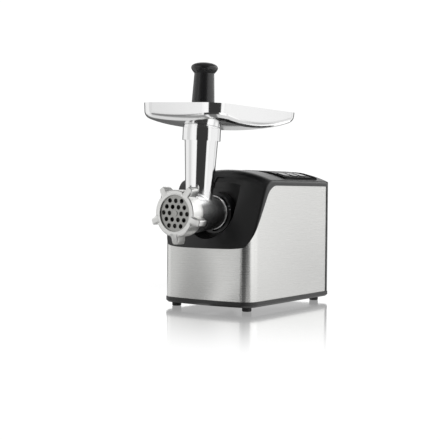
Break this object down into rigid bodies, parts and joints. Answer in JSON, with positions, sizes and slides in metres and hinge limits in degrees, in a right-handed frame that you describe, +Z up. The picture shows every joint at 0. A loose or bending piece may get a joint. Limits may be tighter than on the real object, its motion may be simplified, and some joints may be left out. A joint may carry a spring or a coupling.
{
  "type": "electric meat grinder",
  "caption": "Upright electric meat grinder: steel-wrapped motor housing, black sloped cover with push buttons, aluminium grinding head with lugged ring nut, feed tray and pusher.",
  "frame": {"origin": "on the table, under the middle of the machine's bounding box", "axes": "+Z up, -Y to the front, where the grinding plate faces, +X to the machine's right side as seen from the front"},
  "size_m": [0.1724, 0.3354, 0.387],
  "materials": {
    "brushed_stainless": "brushed",
    "black_plastic": "satin",
    "panel_black": "gloss",
    "button_black": "satin",
    "feet_rubber": "matte",
    "cast_aluminium": "satin polished",
    "tray_aluminium": "polished",
    "cutting_steel": "ground",
    "machined_steel": "machined",
    "gear_nylon": "satin",
    "case_plastic": "satin",
    "bush_bronze": "machined",
    "winding_copper": "lacquered",
    "lamination_steel": "matte",
    "board_green": "matte"
  },
  "bodies": {
    "housing": {"base_plate": "black_plastic", "rubber_feet": "feet_rubber", "steel_wrap": "brushed_stainless", "top_cover": "black_plastic", "rear_cover": "black_plastic", "cord_gland": "feet_rubber", "rear_screws": "machined_steel", "control_panel": "panel_black", "switch_board": "board_green", "head_socket": "black_plastic", "output_bush": "bush_bronze", "gear_case": "case_plastic", "gear_case_cover": "case_plastic", "case_screws": "machined_steel", "motor_stator": "lamination_steel", "field_coils": "winding_copper", "motor_bearings": "machined_steel", "motor_end_frame": "case_plastic", "brush_holders": "bush_bronze", "motor_cradle": "case_plastic", "release_spring": "machined_steel"},
    "head": {"head_casting": "cast_aluminium", "grinding_plate": "cutting_steel", "plate_key": "machined_steel"},
    "ring": {"ring_nut": "cast_aluminium"},
    "screw": {"auger": "cast_aluminium", "knife": "cutting_steel", "thrust_washer": "gear_nylon", "drive_coupling": "machined_steel", "output_shaft": "machined_steel", "output_gear": "gear_nylon"},
    "idler": {"idler_shaft": "machined_steel", "idler_pinion": "machined_steel", "idler_gear": "gear_nylon"},
    "armature": {"motor_shaft": "machined_steel", "motor_pinion": "machined_steel", "motor_fan": "gear_nylon", "armature_core": "lamination_steel", "commutator": "winding_copper"},
    "feed_tray": {"tray": "tray_aluminium"},
    "plunger": {"pusher": "black_plastic"},
    "on_key": {"on_button": "button_black"},
    "off_key": {"off_button": "button_black"},
    "reverse_key": {"reverse_button": "button_black"},
    "release": {"release_button": "button_black"}
  },
  "joints": [
    {"name": "head_twist", "type": "hinge", "parent": "housing", "child": "head", "pos_m": [0, -0.1591, 0.153], "axis": [0, 1, 0], "range_deg": [0, 45]},
    {"name": "ring_turn", "type": "hinge", "parent": "head", "child": "ring", "pos_m": [0, -0.1591, 0.153], "axis": [0, -1, 0], "range_deg": [0, 360]},
    {"name": "armature_spin", "type": "hinge", "parent": "housing", "child": "armature", "pos_m": [0, 0.05, 0.093], "axis": [0, 1, 0], "continuous": true},
    {"name": "idler_spin", "type": "hinge", "parent": "housing", "child": "idler", "pos_m": [0.032, 0, 0.1095], "axis": [0, 1, 0], "continuous": true},
    {"name": "screw_spin", "type": "hinge", "parent": "housing", "child": "screw", "pos_m": [0, -0.1591, 0.153], "axis": [0, 1, 0], "continuous": true},
    {"name": "tray_lift", "type": "slide", "parent": "head", "child": "feed_tray", "axis": [0.0436, 0, 0.999], "range_m": [0, 0.06]},
    {"name": "pusher_slide", "type": "slide", "parent": "feed_tray", "child": "plunger", "axis": [0.0436, 0, 0.999], "range_m": [-0.072, 0.12]},
    {"name": "on_press", "type": "slide", "parent": "housing", "child": "on_key", "axis": [-0.2646, 0, -0.9644], "range_m": [0, 0.0018], "stiffness_N_per_m": 300},
    {"name": "off_press", "type": "slide", "parent": "housing", "child": "off_key", "axis": [-0.2646, 0, -0.9644], "range_m": [0, 0.0018], "stiffness_N_per_m": 300},
    {"name": "reverse_press", "type": "slide", "parent": "housing", "child": "reverse_key", "axis": [-0.2646, 0, -0.9644], "range_m": [0, 0.0018], "stiffness_N_per_m": 300},
    {"name": "release_press", "type": "slide", "parent": "housing", "child": "release", "axis": [0, 1, 0], "range_m": [0, 0.004], "stiffness_N_per_m": 400, "deforming": ["release_spring"]}
  ],
  "couplings": [
    {"joint": "idler_spin", "follows": "armature_spin", "ratio": -0.2},
    {"joint": "screw_spin", "follows": "armature_spin", "ratio": 0.048276}
  ]
}
